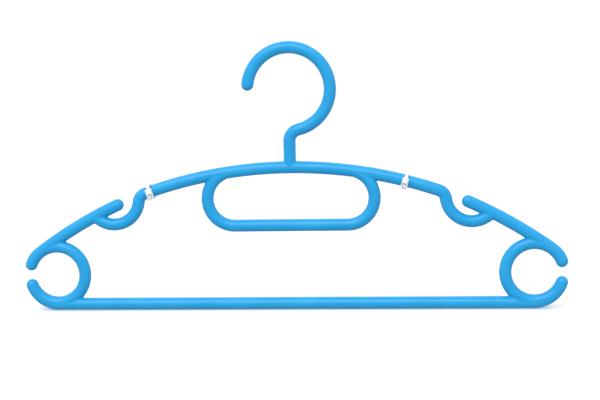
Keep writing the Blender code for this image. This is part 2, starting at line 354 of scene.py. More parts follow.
def settled(rods, points):
    """The points moved onto the joined rods' skin."""
    for _ in range(SETTLE_ROUNDS):
        slope = slope_of(rods, points)
        weight = joined_gap(rods, points) / np.maximum((slope * slope).sum(axis=1), 0.05)
        points = points - weight[:, None] * slope
    return points


def extent(rods):
    """A box round the rods, in millimetres."""
    low = np.full(3, np.inf)
    high = np.full(3, -np.inf)
    for path, radius in rods:
        for x, z, _ in path.stations(ROD_STEP):
            low = np.minimum(low, (x - radius, -radius, z - radius))
            high = np.maximum(high, (x + radius, radius, z + radius))
    return low - 2.0 * CELL, high + 3.0 * CELL


def net_faces(inside, cell_index):
    """A quad for every grid edge that crosses the skin, facing outwards."""
    quads = []
    for axis in range(3):
        order = [axis, (axis + 1) % 3, (axis + 2) % 3]
        solid = np.transpose(inside, order)
        index = np.transpose(cell_index, order)
        crossing = solid[:-1] != solid[1:]
        along, second, third = np.nonzero(crossing[:, 1:-1, 1:-1])
        corners = np.stack([index[along, second, third], index[along, second + 1, third],
                            index[along, second + 1, third + 1], index[along, second, third + 1]], axis=1)
        leaving = solid[along, second + 1, third + 1]
        quads.append(np.where(leaving[:, None], corners, corners[:, ::-1]))
    return np.concatenate(quads)


def relaxed(points, quads):
    """Each point moved to the middle of its neighbours."""
    total = np.zeros_like(points)
    count = np.zeros(len(points))
    for first in range(4):
        a, b = quads[:, first], quads[:, (first + 1) % 4]
        np.add.at(total, a, points[b])
        np.add.at(count, a, 1.0)
        np.add.at(total, b, points[a])
        np.add.at(count, b, 1.0)
    return total / count[:, None]


def joined_mesh(name, rods):
    """The skin of the joined rods as a mesh of even quads."""
    low, high = extent(rods)
    axes = [np.arange(low[i], high[i], CELL) for i in range(3)]
    grid = np.stack(np.meshgrid(*axes, indexing="ij"), axis=-1)
    inside = (joined_gap(rods, grid.reshape(-1, 3)) < 0.0).reshape(grid.shape[:3])
    pair_count = inside[:-1].astype(int) + inside[1:]
    face_count = pair_count[:, :-1] + pair_count[:, 1:]
    corner_count = face_count[:, :, :-1] + face_count[:, :, 1:]
    mixed = (corner_count > 0) & (corner_count < 8)
    cell_index = np.full(mixed.shape, -1)
    cell_index[mixed] = np.arange(np.count_nonzero(mixed))
    quads = net_faces(inside, cell_index)
    points = settled(rods, grid[:-1, :-1, :-1][mixed] + 0.5 * CELL)
    for _ in range(RELAX_ROUNDS):
        points = settled(rods, relaxed(points, quads))
    return mesh_of(name, points, quads)


# ---------------------------------------------------------------- meshes
def mesh_of(name, points, faces):
    data = bpy.data.meshes.new(name)
    data.from_pydata(np.asarray(points).tolist(), [], np.asarray(faces).tolist())
    data.validate()
    return data


def cut_end(mesh, station, outwards, radius):
    """Cuts a rod square at the station, makes its rim exactly round and caps it.

    Only faces round that rod's end are touched, so another rod that crosses the plane stays whole.
    """
    x, z, heading = station
    middle = Vector((x, 0.0, z))
    ahead = Vector((math.cos(heading), 0.0, math.sin(heading))) * outwards
    faces = []
    for face in mesh.faces:
        offset = face.calc_center_median() - middle
        along = offset.dot(ahead)
        off_axis = (offset - along * ahead).length
        if off_axis < radius + CELL and -2.0 * CELL < along < OVERRUN + radius + CELL:
            faces.append(face)
    edges = {edge for face in faces for edge in face.edges}
    verts = {vert for face in faces for vert in face.verts}
    bmesh.ops.bisect_plane(mesh, geom=[*verts, *edges, *faces], plane_co=middle, plane_no=ahead,
                           clear_outer=True, dist=1e-4)
    rim = [edge for edge in mesh.edges if edge.is_boundary]
    for vert in {vert for edge in rim for vert in edge.verts}:
        offset = vert.co - middle
        vert.co = middle + radius * offset.normalized()
    bmesh.ops.holes_fill(mesh, edges=rim, sides=0)


def joined_rods(name, rods, cuts):
    """Joined rods with square ends at the cuts, each (station, outwards)."""
    data = joined_mesh(name, rods)
    mesh = bmesh.new()
    mesh.from_mesh(data)
    for station, outwards in cuts:
        cut_end(mesh, station, outwards, ROD_R)
    mesh.to_mesh(data)
    mesh.free()
    return data


def ring_points(station, across, depth):
    x, z, heading = station
    return [(x - a * math.sin(heading), d, z + a * math.cos(heading)) for a, d in zip(across, depth)]


def swept_rod(name, rod, round_end=False):
    """A round rod along a path, with square ends or a domed far end."""
    path, radius = rod
    angles = [2.0 * math.pi * index / ROD_SIDES for index in range(ROD_SIDES)]
    rings = [(station, radius) for station in path.stations(ROD_STEP)]
    x, z, heading = path.end
    if round_end:
        for index in range(1, DOME_STEPS):
            angle = 0.5 * math.pi * index / DOME_STEPS
            ahead = radius * math.sin(angle)
            centre = (x + ahead * math.cos(heading), z + ahead * math.sin(heading), heading)
            rings.append((centre, radius * math.cos(angle)))
    points = []
    for station, ring_radius in rings:
        across = [ring_radius * math.cos(angle) for angle in angles]
        depth = [ring_radius * math.sin(angle) for angle in angles]
        points += ring_points(station, across, depth)
    faces = swept_faces(len(rings), ROD_SIDES)
    last = (len(rings) - 1) * ROD_SIDES
    if round_end:
        points.append((x + radius * math.cos(heading), 0.0, z + radius * math.sin(heading)))
        faces += [(last + i, last + (i + 1) % ROD_SIDES, len(points) - 1) for i in range(ROD_SIDES)]
    else:
        faces.append([last + i for i in range(ROD_SIDES)])
    faces.append([i for i in reversed(range(ROD_SIDES))])
    data = bpy.data.meshes.new(name)
    data.from_pydata(points, [], faces)
    return data


def swept_faces(ring_count, sides):
    faces = []
    for ring in range(ring_count - 1):
        start = ring * sides
        for i in range(sides):
            after = (i + 1) % sides
            faces.append((start + i, start + after, start + sides + after, start + sides + i))
    return faces


def outward(data):
    mesh = bmesh.new()
    mesh.from_mesh(data)
    bmesh.ops.recalc_face_normals(mesh, faces=mesh.faces)
    mesh.to_mesh(data)
    mesh.free()


def boolean(data, helpers, operation):
    """The mesh after exact booleans with the helper meshes."""
    node = bpy.data.objects.new(data.name, data)
    bpy.context.scene.collection.objects.link(node)
    tools = []
    for helper in helpers:
        tool = bpy.data.objects.new(helper.name, helper)
        bpy.context.scene.collection.objects.link(tool)
        tools.append(tool)
        modifier = node.modifiers.new(helper.name, "BOOLEAN")
        modifier.operation = operation
        modifier.object = tool
        modifier.solver = "EXACT"
    evaluated = node.evaluated_get(bpy.context.evaluated_depsgraph_get())
    result = bpy.data.meshes.new_from_object(evaluated)
    for temporary in [node, *tools]:
        bpy.data.objects.remove(temporary)
    drop_slivers(result)
    return result


def drop_slivers(data):
    """Merges points that a boolean left almost on top of each other, and cuts its faces into triangles."""
    mesh = bmesh.new()
    mesh.from_mesh(data)
    bmesh.ops.remove_doubles(mesh, verts=mesh.verts, dist=SLIVER)
    bmesh.ops.triangulate(mesh, faces=mesh.faces, quad_method="BEAUTY", ngon_method="BEAUTY")
    bmesh.ops.dissolve_degenerate(mesh, edges=mesh.edges, dist=SLIVER)
    mesh.to_mesh(data)
    mesh.free()


def puck(name, station, radius, proud, rod_radius):
    """A low round mark that stands on the back of a rod."""
    x, z, _ = station
    mesh = bmesh.new()
    bmesh.ops.create_cone(mesh, cap_ends=True, segments=PIN_SIDES, radius1=radius, radius2=radius,
                          depth=PIN_LENGTH)
    rims = [edge for edge in mesh.edges if edge.calc_face_angle(0.0) > 1.0]
    bmesh.ops.bevel(mesh, geom=rims, offset=PIN_BEVEL, segments=3, profile=0.5, affect="EDGES")
    turn = Matrix.Rotation(math.radians(90.0), 4, "X")
    place = Matrix.Translation((x, rod_radius + proud - 0.5 * PIN_LENGTH, z))
    bmesh.ops.transform(mesh, matrix=place @ turn, verts=mesh.verts)
    bmesh.ops.recalc_face_normals(mesh, faces=mesh.faces)
    data = bpy.data.meshes.new(name)
    mesh.to_mesh(data)
    mesh.free()
    return data


def marked(data, stations, rod_radius):
    """The rod with a round mark of an ejector pin at each station."""
    pins = []
    for index, station in enumerate(stations):
        pins.append(puck(f"pin_{index}", station, PIN_R, PIN_PROUD, rod_radius))
    return boolean(data, pins, "UNION")


def shade_moulding(data, rods):
    """Smooth shading from the rods' own slope, wherever a face follows it."""
    data.shade_smooth()
    data.set_sharp_from_angle(angle=SMOOTH_ANGLE)
    points = np.zeros(3 * len(data.vertices))
    data.vertices.foreach_get("co", points)
    points = points.reshape(-1, 3)
    slope = slope_of(rods, points)
    slope /= np.maximum(np.linalg.norm(slope, axis=1), 1e-9)[:, None]
    on_skin = np.abs(joined_gap(rods, points)) < 0.02
    corner = np.zeros(len(data.loops), int)
    data.loops.foreach_get("vertex_index", corner)
    sizes = np.zeros(len(data.polygons), int)
    data.polygons.foreach_get("loop_total", sizes)
    flat = np.zeros(3 * len(data.polygons))
    data.polygons.foreach_get("normal", flat)
    flat = np.repeat(flat.reshape(-1, 3), sizes, axis=0)
    follows = (slope[corner] * flat).sum(axis=1) > math.cos(SMOOTH_ANGLE)
    follows &= on_skin[corner]
    data.normals_split_custom_set(np.where(follows[:, None], slope[corner], 0.0))


def mirrored_mesh(data, name):
    """A copy of the mesh and its corner normals, mirrored in the hanger's middle plane."""
    faces = [list(reversed(face.vertices)) for face in data.polygons]
    points = [(-vert.co.x, vert.co.y, vert.co.z) for vert in data.vertices]
    normals = []
    for face in data.polygons:
        for loop in reversed(face.loop_indices):
            normal = data.corner_normals[loop].vector
            normals.append((-normal.x, normal.y, normal.z))
    copy = bpy.data.meshes.new(name)
    copy.from_pydata(points, [], faces)
    copy.shade_smooth()
    copy.normals_split_custom_set(normals)
    return copy


def moulded(name, data, material):
    """Puts a member of the moulding in its place and lets it stand for its CAD node."""
    data.transform(Matrix.Translation((0.0, 0.0, CROWN_Z * MM)) @ Matrix.Diagonal((MM, MM, MM, 1.0)))
    data.materials.clear()
    data.materials.append(material)
    piece = bpy.data.objects.new("moulded_" + name, data)
    bpy.context.scene.collection.objects.link(piece)
    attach(piece, "hanger")
    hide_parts(name)
    return piece


# ---------------------------------------------------------------- the moulding's members
def build_hook(material):
    """Neck, bend and open circle in one rod, from the joint above the shoulder bar to the tip."""
    bend = -HOOK_START_ANGLE
    link = (HOOK_R * math.cos(bend) - NECK_BEND_R * (1.0 - math.cos(bend))) / math.sin(bend)
    neck_top = HOOK_CENTRE_Z - (HOOK_R + NECK_BEND_R) * math.sin(bend) - link * math.cos(bend)
    path = Path(0.0, NECK_SPLIT_Z, math.pi / 2).line(neck_top - NECK_SPLIT_Z)
    path.arc(NECK_BEND_R, -bend).line(link).arc(HOOK_R, HOOK_TIP_ANGLE - HOOK_START_ANGLE)
    rod = (path, HOOK_ROD_R)
    data = swept_rod("hook", rod, round_end=True)
    outward(data)
    circle = path.spans[-1]
    pins = [span_point(circle, share * circle[3]) for share in HOOK_PIN_SHARES]
    data = marked(data, [span_point(path.spans[0], NECK_PIN_LENGTH), *pins], HOOK_ROD_R)
    shade_moulding(data, [rod])
    moulded("hook", data, material)


def shoulder_arc(half_angle):
    """The shoulder bar's centreline between two angles that are the same to the right and to the left."""
    return circle_path(0.0, -SHOULDER_R, SHOULDER_R, math.pi / 2 - half_angle, math.pi / 2 + half_angle)


def loop_stubs(angle):
    """The loop's right and left round ends, from an angle above level to inside the shoulder bar."""
    centre_z = LOOP_Z + LOOP_END_R
    right = circle_path(LOOP_HALF_LENGTH, centre_z, LOOP_END_R, angle, LOOP_JOIN_ANGLE)
    left = circle_path(-LOOP_HALF_LENGTH, centre_z, LOOP_END_R, math.pi - LOOP_JOIN_ANGLE, math.pi - angle)
    return right, left


def build_shoulder_bar(material):
    """The shoulder arc, with the neck's stub on its crown and the loop's two stubs below it."""
    arc = shoulder_arc(SHOULDER_HALF_ANGLE + OVERRUN / SHOULDER_R)
    neck = Path(0.0, 0.0, math.pi / 2).line(NECK_SPLIT_Z + OVERRUN)
    right, left = loop_stubs(LOOP_SPLIT_ANGLE - OVERRUN / LOOP_END_R)
    rods = [(arc, ROD_R), (neck, HOOK_ROD_R), (right, ROD_R), (left, ROD_R)]
    exact = shoulder_arc(SHOULDER_HALF_ANGLE)
    right, left = loop_stubs(LOOP_SPLIT_ANGLE)
    cuts = [(exact.start, -1.0), (exact.end, 1.0), ((0.0, NECK_SPLIT_Z, math.pi / 2), 1.0),
            (right.start, -1.0), (left.end, 1.0)]
    data = joined_rods("shoulder_bar", rods, cuts)
    pins = [shoulder_arc(math.radians(angle)).start for angle in SHOULDER_PIN_ANGLES]
    data = marked(data, pins, ROD_R)
    gate = puck("gate", (0.0, 0.0, 0.0), GATE_R, GATE_PROUD, ROD_R)
    data = boolean(data, [gate], "UNION")
    shade_moulding(data, rods)
    moulded("shoulder_bar", data, material)


def build_accessory_loop(material):
    """The loop's bottom and round ends, up to the shoulder bar's stubs."""
    turn = math.pi / 2 + LOOP_SPLIT_ANGLE
    half = Path(0.0, LOOP_Z, 0.0).line(LOOP_HALF_LENGTH).arc(LOOP_END_R, turn)
    whole = Path(-half.end[0], half.end[1], -half.end[2])
    whole.arc(LOOP_END_R, turn).line(2.0 * LOOP_HALF_LENGTH).arc(LOOP_END_R, turn)
    rod = (whole, ROD_R)
    data = swept_rod("accessory_loop", rod)
    outward(data)
    pins = [(side * LOOP_PIN_SHARE * LOOP_HALF_LENGTH, LOOP_Z, 0.0) for side in (-1, 1)]
    data = marked(data, pins, ROD_R)
    shade_moulding(data, [rod])
    moulded("accessory_loop", data, material)


def build_trouser_bar(material):
    """The straight bar between the two end rings."""
    rod = (Path(-BAR_SPLIT_X, BAR_Z, 0.0).line(2.0 * BAR_SPLIT_X), ROD_R)
    data = swept_rod("trouser_bar", rod)
    outward(data)
    pins = [(place * BAR_PIN_PITCH, BAR_Z, 0.0) for place in range(-2, 3)]
    data = marked(data, pins, ROD_R)
    shade_moulding(data, [rod])
    moulded("trouser_bar", data, material)


def notch_path():
    """The corner and the wide turn, from the shoulder bar's end into the arm."""
    path = Path(SHOULDER_R * math.sin(SHOULDER_HALF_ANGLE),
                SHOULDER_R * math.cos(SHOULDER_HALF_ANGLE) - SHOULDER_R,
                -SHOULDER_HALF_ANGLE)
    path.line(CORNER_LEAD_IN).arc(CORNER_R, -CORNER_TURN)
    return path.arc(NOTCH_R, NOTCH_TURN - NOTCH_STUB_TURN)


def both_sides(name, data, material):
    """The right member as it is, and the left one as its mirror image."""
    left = mirrored_mesh(data, "left_" + name)
    moulded("right_" + name, data, material)
    moulded("left_" + name, left, material)


def build_strap_notches(material):
    """The tight corner and most of the wide turn, between the shoulder bar and the arm."""
    rod = (notch_path(), ROD_R)
    data = swept_rod("strap_notch", rod)
    outward(data)
    wide = rod[0].spans[-1]
    data = marked(data, [span_point(wide, NOTCH_PIN_SHARE * wide[3])], ROD_R)
    shade_moulding(data, [rod])
    both_sides("strap_notch", data, material)


def arm_path(length):
    """The arm's centreline, from its free tip towards the end ring."""
    return Path(ARM_TIP_X, ARM_TIP_Z, -ARM_TIP_FALL).arc(ARM_R, -length / ARM_R)


def build_arms(material):
    """The free tip and the falling arm, with the notch's stub joined on from below."""
    split = arm_path(ARM_SPLIT_LENGTH).end
    stub_start = notch_path().end
    before = Path(*stub_start[:2], stub_start[2] + math.pi).arc(NOTCH_R, -OVERRUN / NOTCH_R).end
    stub = Path(before[0], before[1], before[2] - math.pi)
    stub.arc(NOTCH_R, NOTCH_STUB_TURN + OVERRUN / NOTCH_R)
    rods = [(arm_path(ARM_SPLIT_LENGTH + OVERRUN), ROD_R), (stub, ROD_R)]
    data = joined_rods("arm", rods, [(split, 1.0), (stub_start, -1.0)])
    data = marked(data, [arm_path(ARM_PIN_SHARE * ARM_SPLIT_LENGTH).end], ROD_R)
    shade_moulding(data, rods)
    both_sides("arm", data, material)


def build_end_rings(material):
    """The open rings, joined with the arm's curl into the upper lip and the bar's into the lower lip."""
    mouth = RING_MOUTH_HALF_ANGLE
    ring = circle_path(RING_X, RING_Z, RING_R, mouth, 2.0 * math.pi - mouth)
    split = arm_path(ARM_SPLIT_LENGTH).end
    before = arm_path(ARM_SPLIT_LENGTH - OVERRUN).end
    upper = Path(*before).arc(ARM_R, -(ARM_LENGTH - ARM_SPLIT_LENGTH + OVERRUN) / ARM_R)
    radius, turn = curl_to(upper.end, ring.start)
    upper.arc(radius, turn + CURL_END_SHORT)
    lower = Path(BAR_SPLIT_X - OVERRUN, BAR_Z, 0.0).line(BAR_HALF_LENGTH - BAR_SPLIT_X + OVERRUN)
    radius, turn = curl_to(lower.end, ring.end)
    lower.arc(radius, turn - CURL_END_SHORT)
    rods = [(ring, ROD_R), (upper, ROD_R), (lower, ROD_R)]
    data = joined_rods("end_ring", rods, [(split, -1.0), ((BAR_SPLIT_X, BAR_Z, 0.0), -1.0)])
    pins = [span_point(ring.spans[0], share * ring.spans[0][3]) for share in RING_PIN_SHARES]
    data = marked(data, pins, ROD_R)
    shade_moulding(data, rods)
    both_sides("end_ring", data, material)


# ---------------------------------------------------------------- the cable ties
def strap_path():
    """The strap's centreline from its cut tail, through the slot, round the rod and to the head's top.

    It is drawn in the plane square to the rod, with the depth across and the head at the negative side.
    """
    wrap_r = ROD_R + STRAP_CLEARANCE + 0.5 * STRAP_THICKNESS
    start = math.pi + TAIL_ANGLE
    wrap_x = wrap_r * math.cos(start)
    wrap_z = wrap_r * math.sin(start)
    tail = Path(wrap_x, wrap_z, start - math.pi / 2).arc(TAIL_BEND_R, math.pi / 2 - TAIL_ANGLE)
    tail.line(HEAD_BACK + HEAD_DEPTH + TAIL_PROUD + tail.end[0])
    path = backwards(tail)
    path.arc(wrap_r, 2.0 * math.pi - ROOT_ANGLE - TAIL_ANGLE)
    bend_reach = ROOT_BEND_R * (1.0 - math.cos(ROOT_ANGLE))
    path.line((ROOT_DEPTH + path.end[0] - bend_reach) / math.sin(ROOT_ANGLE))
    return path.arc(ROOT_BEND_R, ROOT_ANGLE)


def strap_section(depth):
    """The strap's outline, with a toothed track sunk to the depth between two rails on its inner face."""
    wide = 0.5 * STRAP_WIDTH
    thick = 0.5 * STRAP_THICKNESS
    arris = 0.3 * STRAP_ROUND
    track = TRACK_HALF_WIDTH
    floor = track - TRACK_SLOPE
    edge = [(thick - arris, arris - wide), (thick - STRAP_ROUND, -wide), (STRAP_ROUND - thick, -wide),
            (arris - thick, arris - wide), (-thick, STRAP_ROUND - wide)]
    other_edge = [(across, -along) for across, along in reversed(edge)]
    face = [(thick, wide - STRAP_ROUND), (thick, track), (thick - depth, floor),
            (thick - depth, -floor), (thick, -track), (thick, STRAP_ROUND - wide)]
    return face + edge + other_edge


def strap_mesh(name):
    """The strap swept with sawtooth teeth: each falls off slowly and rises in one step."""
    path = strap_path().line(HEAD_GAP + ROOT_SUNK)
    stations = path.stations(TOOTH_PITCH / TOOTH_STEPS)
    points = []
    travelled = 0.0
    for index, station in enumerate(stations):
        if index > 0:
            before = stations[index - 1]
            travelled += math.hypot(station[0] - before[0], station[1] - before[1])
        part = (travelled / TOOTH_PITCH) % 1.0
        for across, depth in strap_section(TOOTH_LEAST + TOOTH_DEPTH * (1.0 - part)):
            y = station[0] - across * math.sin(station[2])
            z = station[1] + across * math.cos(station[2])
            points.append((depth, y, z))
    sides = len(strap_section(0.0))
    faces = swept_faces(len(stations), sides)
    last = (len(stations) - 1) * sides
    faces.append(list(range(sides)))
    faces.append([last + i for i in reversed(range(sides))])
    data = bpy.data.meshes.new(name)
    data.from_pydata(points, [], faces)
    outward(data)
    return data


def block(name, low, high, rounding=0.0, segments=4, flare=0.0):
    """A box between two corners, with rounded edges or with a front wider than its back."""
    mesh = bmesh.new()
    bmesh.ops.create_cube(mesh, size=1.0)
    low = Vector(low)
    high = Vector(high)
    middle = (low + high) / 2
    size = Matrix.Diagonal((*(high - low), 1.0))
    bmesh.ops.transform(mesh, matrix=Matrix.Translation(middle) @ size, verts=mesh.verts)
    if flare > 0.0:
        for vert in mesh.verts:
            if vert.co.y < middle.y:
                vert.co.x += math.copysign(flare, vert.co.x - middle.x)
                vert.co.z += math.copysign(flare, vert.co.z - middle.z)
    if rounding > 0.0:
        bmesh.ops.bevel(mesh, geom=mesh.edges[:], offset=rounding, segments=segments, profile=0.5,
                        affect="EDGES")
    bmesh.ops.recalc_face_normals(mesh, faces=mesh.faces)
    data = bpy.data.meshes.new(name)
    mesh.to_mesh(data)
    mesh.free()
    return data


def head_mesh(name, tail_up, head_top):
    """The head: a rounded block with a slot, a flared mouth in front and a sunk panel on each cheek."""
    half = 0.5 * HEAD_WIDTH
    front = -HEAD_BACK - HEAD_DEPTH
    bottom = head_top - HEAD_HEIGHT
    body = block(name, (-half, front, bottom), (half, -HEAD_BACK, head_top), HEAD_ROUND, 6)
    half_slot = 0.5 * STRAP_WIDTH + SLOT_MARGIN
    low = tail_up - 0.5 * STRAP_THICKNESS - SLOT_UNDER_STRAP
    high = tail_up + 0.5 * STRAP_THICKNESS + SLOT_OVER_STRAP
    slot = block("slot", (-half_slot, front - 1.0, low), (half_slot, 1.0 - HEAD_BACK, high), SLOT_BEVEL, 2)
    mouth = block("mouth", (-half_slot, front - MOUTH_DEPTH, low), (half_slot, front + MOUTH_DEPTH, high),
                  flare=SLOT_FLARE)
    cutters = [slot, mouth]
    for side in (-1, 1):
        panel_low = (side * half - PANEL_DEPTH, front + PANEL_SIDE_MARGIN, bottom + PANEL_END_MARGIN)
        panel_high = (side * half + PANEL_DEPTH, -HEAD_BACK - PANEL_SIDE_MARGIN, head_top - PANEL_END_MARGIN)
        cutters.append(block("panel", panel_low, panel_high, PANEL_BEVEL, 2))
    return boolean(body, cutters, "DIFFERENCE")


def pawl_mesh(name, strap_top):
    """The sprung tongue over the strap: thick at its root by the rod, with teeth under its tip."""
    slot_top = strap_top + SLOT_OVER_STRAP - PAWL_TOP_GAP
    low = strap_top + PAWL_UNDER_GAP
    root = -HEAD_BACK - 0.5 * (HEAD_DEPTH - PAWL_LENGTH)
    tip = root - PAWL_LENGTH
    outline = [(root, slot_top), (root, slot_top - PAWL_TIP)]
    run = PAWL_LENGTH - PAWL_TIP
    for index in range(PAWL_TEETH):
        heel = tip + run * (PAWL_TEETH - index) / (PAWL_TEETH + 1)
        outline.append((heel, low + PAWL_TOOTH_HEIGHT))
        outline.append((heel - PAWL_TOOTH_RISE, low))
    outline += [(tip, low + PAWL_NOSE), (tip, low + PAWL_TIP), (root - PAWL_ROOT, slot_top)]
    mesh = bmesh.new()
    left = [mesh.verts.new((-0.5 * PAWL_WIDTH, y, z)) for y, z in outline]
    right = [mesh.verts.new((0.5 * PAWL_WIDTH, y, z)) for y, z in outline]
    for index in range(len(outline)):
        after = (index + 1) % len(outline)
        mesh.faces.new((left[index], left[after], right[after], right[index]))
    mesh.faces.new(left[::-1])
    mesh.faces.new(right)
    bmesh.ops.bevel(mesh, geom=mesh.edges[:], offset=PAWL_BEVEL, segments=2, profile=0.5, affect="EDGES")
    bmesh.ops.recalc_face_normals(mesh, faces=mesh.faces)
    data = bpy.data.meshes.new(name)
    mesh.to_mesh(data)
    mesh.free()
    return data


def tie_place(label):
    """The matrix from the tie's own millimetres to its place on the shoulder bar."""
    low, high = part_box(label + "_tie_strap")
    middle = (low + high) / 2
    angle = math.atan2(middle.x, middle.z - ARC_CENTRE.z)
    scale = Matrix.Diagonal((MM, MM, MM, 1.0))
    lift = Matrix.Translation((0.0, 0.0, SHOULDER_R * MM))
    return Matrix.Translation(ARC_CENTRE) @ Matrix.Rotation(angle, 4, "Y") @ lift @ scale


def build_tie(label, material):
    """A toothed strap that wraps the rod, and a head whose slot holds the strap's tail under a pawl."""
    path = strap_path()
    tail_up = path.spans[0][1]
    head_top = path.end[1] - HEAD_GAP
    place = tie_place(label)
    meshes = {
        "strap": strap_mesh(label + "_strap"),
        "head": head_mesh(label + "_head", tail_up, head_top),
        "pawl": pawl_mesh(label + "_pawl", tail_up + 0.5 * STRAP_THICKNESS),
    }
    for part, data in meshes.items():
        data.transform(place)
        data.shade_smooth()
        data.set_sharp_from_angle(angle=SMOOTH_ANGLE)
        data.materials.clear()
        data.materials.append(material)
        piece = bpy.data.objects.new(f"nylon_{label}_tie_{part}", data)
        bpy.context.scene.collection.objects.link(piece)
        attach(piece, label + "_tie")
        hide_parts(f"{label}_tie_{part}")


# ---------------------------------------------------------------- materials
class Nodes:
    """Short calls for a material's node tree."""

    def __init__(self, name):
        self.material = bpy.data.materials.new(name)
        self.material.use_nodes = True
        self.tree = self.material.node_tree
        self.shader = self.tree.nodes["Principled BSDF"]
        self.place = self.add("ShaderNodeTexCoord").outputs["Object"]

    def add(self, kind, **settings):
        node = self.tree.nodes.new(kind)
        for name, value in settings.items():
            setattr(node, name, value)
        return node

    def feed(self, socket, value):
        if isinstance(value, bpy.types.NodeSocket):
            self.tree.links.new(value, socket)
        else:
            socket.default_value = value

    def stretched(self, scale):
        node = self.add("ShaderNodeMapping")
        self.feed(node.inputs["Vector"], self.place)
        node.inputs["Scale"].default_value = scale
        return node.outputs["Vector"]

    def noise(self, scale, detail=3.0, roughness=0.5, vector=None):
        node = self.add("ShaderNodeTexNoise")
        self.feed(node.inputs["Vector"], vector or self.place)
        node.inputs["Scale"].default_value = scale
        node.inputs["Detail"].default_value = detail
        node.inputs["Roughness"].default_value = roughness
        return node.outputs["Fac"]

    def ramp(self, value, low, high, start=0.0, end=1.0):
        node = self.add("ShaderNodeMapRange", interpolation_type="SMOOTHSTEP")
        self.feed(node.inputs["Value"], value)
        for name, number in (("From Min", low), ("From Max", high), ("To Min", start), ("To Max", end)):
            node.inputs[name].default_value = number
        return node.outputs["Result"]

    def math(self, operation, first, second=0.0):
        node = self.add("ShaderNodeMath", operation=operation)
        self.feed(node.inputs[0], first)
        self.feed(node.inputs[1], second)
        return node.outputs[0]

    def blend(self, factor, first, second):
        node = self.add("ShaderNodeMix", data_type="RGBA")
        self.feed(node.inputs["Factor"], factor)
        self.feed(node.inputs[6], first)
        self.feed(node.inputs[7], second)
        return node.outputs[2]

    def bump(self, height, strength, distance, normal=None):
        node = self.add("ShaderNodeBump")
        self.feed(node.inputs["Height"], height)
        node.inputs["Strength"].default_value = strength
        node.inputs["Distance"].default_value = distance
        if normal is not None:
            self.feed(node.inputs["Normal"], normal)
        return node.outputs["Normal"]


def parting_line(n):
    """A narrow ridge where the mould's halves met, in the hanger's middle plane."""
    axes = n.add("ShaderNodeSeparateXYZ")
    n.feed(axes.inputs[0], n.place)
    off_plane = n.math("ABSOLUTE", axes.outputs["Y"])
    return n.ramp(off_plane, 0.00008, 0.00022, 1.0, 0.0)


def moulded_colour(n):
    """Sky blue with a slow mottle, paler flow marks and specks of pigment."""
    mottle = n.ramp(n.noise(38.0, 4.0, 0.55), 0.35, 0.65)
    colour = n.blend(mottle, (0.010, 0.352, 0.740, 1.0), (0.014, 0.380, 0.780, 1.0))
    flow = n.ramp(n.noise(60.0, 5.0, 0.6, n.stretched((1.0, 6.0, 2.5))), 0.52, 0.78, 0.0, 0.25)
    colour = n.blend(flow, colour, (0.026, 0.410, 0.840, 1.0))
    speck = n.ramp(n.noise(2600.0, 2.0, 0.5), 0.66, 0.74, 0.0, 0.18)
    return n.blend(speck, colour, (0.060, 0.450, 0.860, 1.0))


def hairline_scuffs(n):
    """Fine scratches, in a few patches."""
    rub_area = n.ramp(n.noise(55.0, 3.0, 0.6), 0.56, 0.70)
    hairline = n.ramp(n.noise(420.0, 2.0, 0.4, n.stretched((0.25, 1.0, 3.0))), 0.495, 0.505, 0.0, 1.0)
    edge = n.math("MULTIPLY", hairline, n.math("SUBTRACT", 1.0, hairline))
    return n.math("MULTIPLY", n.math("MULTIPLY", edge, 4.0), rub_area)


def rail_rub(n):
    """The worn patch inside the hook's apex, which is the frame's origin."""
    distance = n.add("ShaderNodeVectorMath", operation="LENGTH")
    n.feed(distance.inputs[0], n.stretched((1.0, 0.6, 3.0)))
    return n.math("MULTIPLY", n.ramp(distance.outputs["Value"], 0.003, 0.010, 1.0, 0.0),
                  n.ramp(n.noise(900.0, 3.0, 0.6), 0.40, 0.62))


def hanger_plastic():
    """Polypropylene with a soft gloss, a parting line and light handling wear."""
    n = Nodes("hanger_plastic")
    scuff = hairline_scuffs(n)
    wear = n.math("MAXIMUM", n.math("MULTIPLY", scuff, 0.35), n.math("MULTIPLY", rail_rub(n), 0.45))
    colour = n.blend(wear, moulded_colour(n), (0.110, 0.500, 0.880, 1.0))
    n.feed(n.shader.inputs["Base Color"], colour)

    gloss = n.ramp(n.noise(150.0, 4.0, 0.6), 0.3, 0.7, 0.18, 0.27)
    gloss = n.math("ADD", gloss, n.math("MULTIPLY", wear, 0.30))
    n.feed(n.shader.inputs["Roughness"], gloss)

    skin = n.bump(n.noise(1300.0, 3.0, 0.5), 0.30, 0.00006)
    scratched = n.bump(scuff, 0.15, -0.00003, skin)
    n.feed(n.shader.inputs["Normal"], n.bump(parting_line(n), 0.5, 0.00007, scratched))
    n.shader.inputs["IOR"].default_value = 1.49
    n.shader.inputs["Specular IOR Level"].default_value = 0.34
    return n.material


